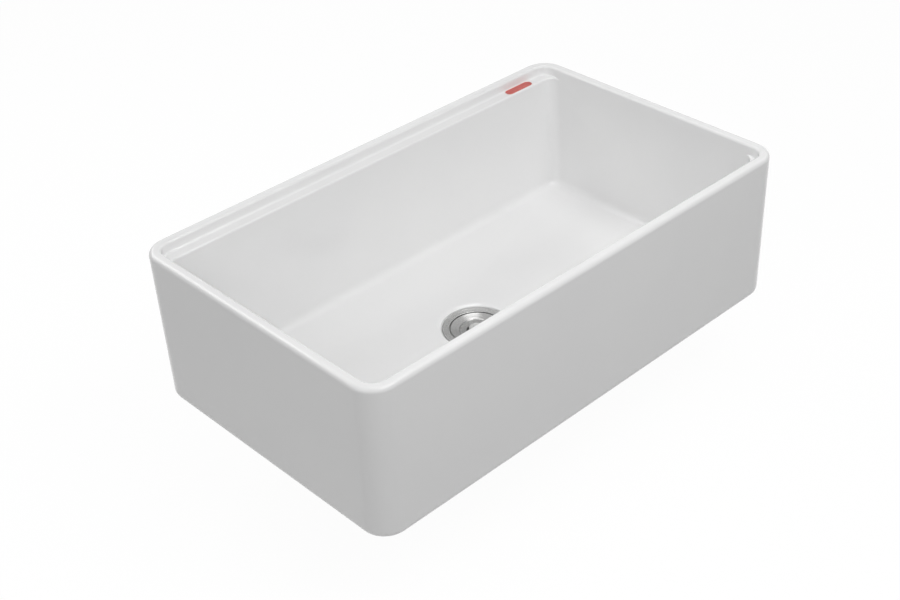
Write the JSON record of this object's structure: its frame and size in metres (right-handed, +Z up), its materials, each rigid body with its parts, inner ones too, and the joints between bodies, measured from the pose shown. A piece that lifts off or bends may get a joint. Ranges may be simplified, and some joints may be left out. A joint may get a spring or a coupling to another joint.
{
  "type": "farmhouse kitchen sink",
  "caption": "Apron-front ceramic kitchen sink: a deep bowl with accessory ledges along front and back, drained by a strainer with a lift-out basket and a stopper on a knob.",
  "frame": {"origin": "centre of the basin's underside, on the drain's axis", "axes": "+X to the right along the apron, +Y from the apron to the back wall, +Z up"},
  "size_m": [0.84, 0.5, 0.4015],
  "materials": {
    "glazed_ceramic": "glossy white glaze",
    "strainer_steel": "turned satin",
    "basket_steel": "turned satin",
    "knob_steel": "fine satin",
    "stem_steel": "plain",
    "grey_gasket": "matt",
    "black_rubber": "matt",
    "fibre_board": "matt",
    "nut_brass": "as cast and turned",
    "white_nylon": "satin",
    "tube_chrome": "polished",
    "nut_chrome": "polished"
  },
  "bodies": {
    "sink": {"sink_basin": "glazed_ceramic", "strainer_body": "strainer_steel", "flange_gasket": "grey_gasket", "sealing_washer": "black_rubber", "friction_ring": "fibre_board", "locknut": "nut_brass", "stem_guide": "white_nylon", "catch_spring": "stem_steel", "tailpiece_washer": "white_nylon", "tailpiece": "tube_chrome", "slip_nut": "nut_chrome"},
    "basket": {"strainer_basket": "basket_steel", "basket_bush": "white_nylon"},
    "stopper": {"knob": "knob_steel", "stem": "stem_steel", "stopper_plate": "stem_steel", "stopper_seal": "black_rubber", "seal_washer": "stem_steel", "stem_nut": "nut_brass"}
  },
  "joints": [
    {"name": "basket_lift", "type": "slide", "parent": "sink", "child": "basket", "axis": [0, 0, 1], "range_m": [0, 0.3]},
    {"name": "stopper_lift", "type": "slide", "parent": "basket", "child": "stopper", "axis": [0, 0, 1], "range_m": [0, 0.008]}
  ]
}
